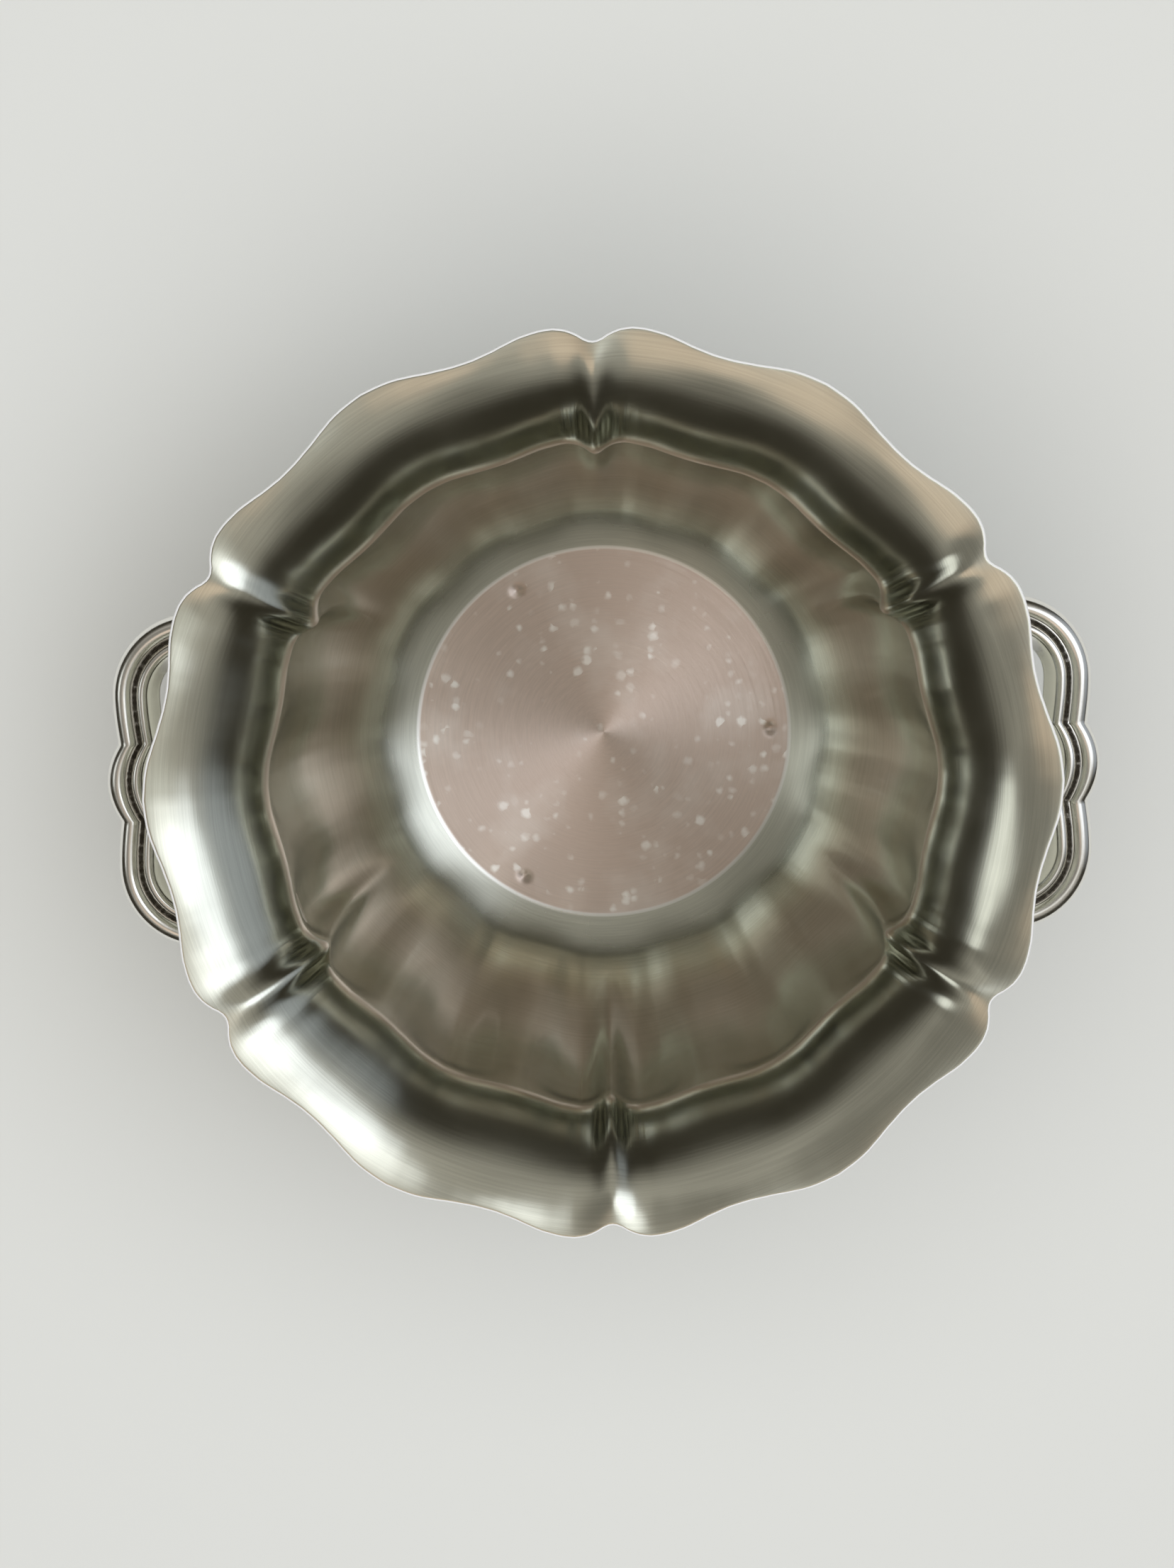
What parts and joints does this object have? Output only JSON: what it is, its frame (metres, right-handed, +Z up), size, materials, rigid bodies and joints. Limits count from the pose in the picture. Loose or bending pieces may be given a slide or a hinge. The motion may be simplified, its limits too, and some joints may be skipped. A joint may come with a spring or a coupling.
{
  "type": "shaving bowl",
  "caption": "Two-handled lobed steel bowl with a scalloped flared rim, a narrow neck, a round belly and a foot ring, for whipping up shaving lather.",
  "frame": {"origin": "on the table, under the middle of the foot ring", "axes": "+Z up out of the bowl's mouth, +X through the middle of the right handle, -X through the left handle"},
  "size_m": [0.134, 0.1196, 0.0691],
  "materials": {
    "satin_steel": "satin polished, turned floor",
    "foot_steel": "satin",
    "handle_steel": "tumble polished with a darkened groove"
  },
  "bodies": {
    "root": {"bowl_shell": "satin_steel", "foot_ring": "foot_steel", "left_handle": "handle_steel", "right_handle": "handle_steel"}
  },
  "joints": []
}
